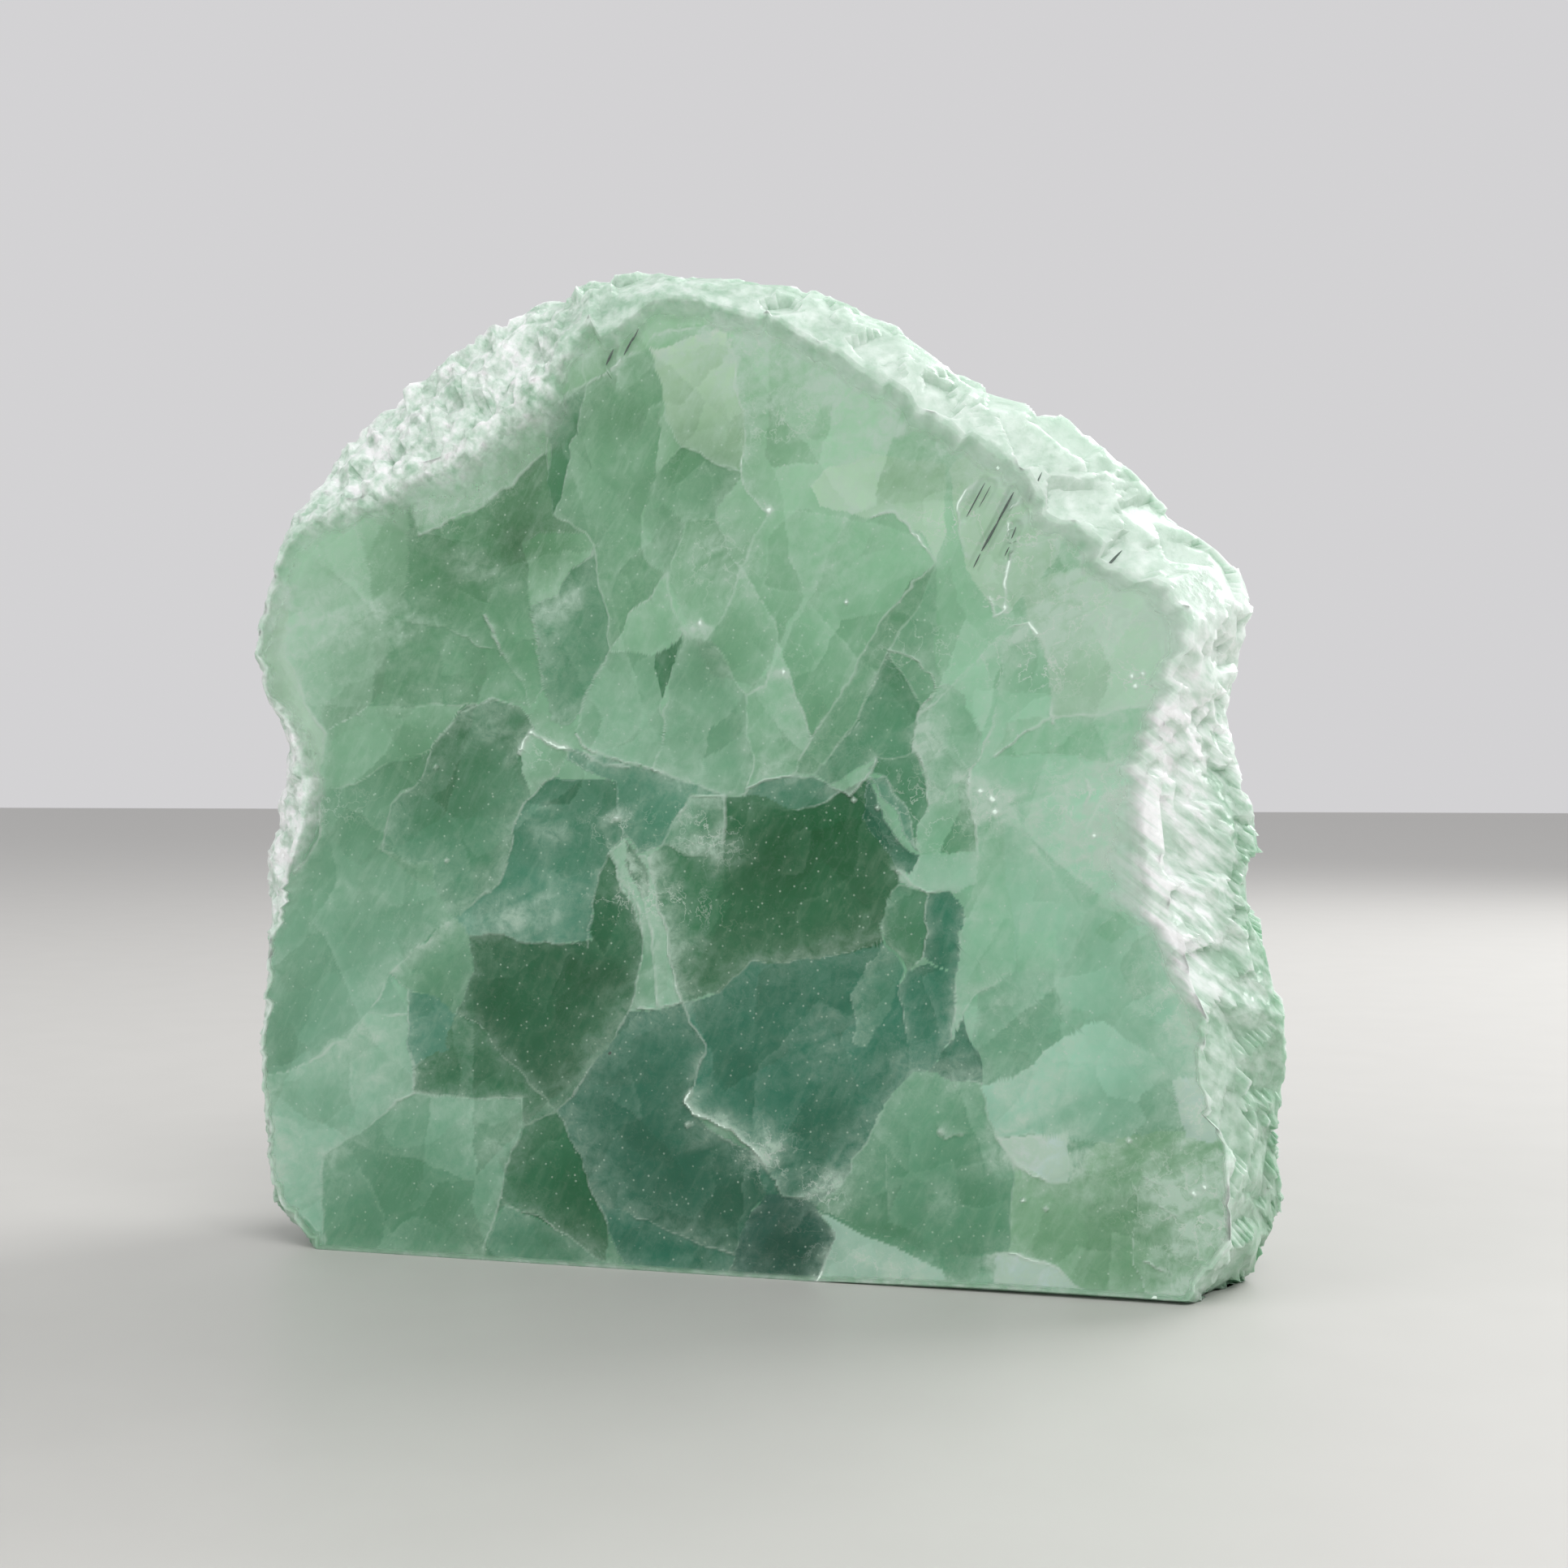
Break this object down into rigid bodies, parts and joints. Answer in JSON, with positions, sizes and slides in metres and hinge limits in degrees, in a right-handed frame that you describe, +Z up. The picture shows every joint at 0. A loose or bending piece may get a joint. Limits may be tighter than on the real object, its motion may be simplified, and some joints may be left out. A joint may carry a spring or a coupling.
{
  "type": "fluorite freeform",
  "caption": "Standing slab of green fluorite with one polished face, a sawn base to stand on, and a raw broken rim and back.",
  "frame": {"origin": "on the plane of the sawn base, under the middle of the stone's box", "axes": "+X along the width of the polished face, +Y from the polished face to the raw back, +Z up from the sawn base"},
  "size_m": [0.0967, 0.0381, 0.0915],
  "materials": {
    "fluorite": "milky see-through green crystal, lapped and polished on one face, raw and cleaved elsewhere"
  },
  "bodies": {
    "root": {"fluorite_freeform": "fluorite"}
  },
  "joints": []
}
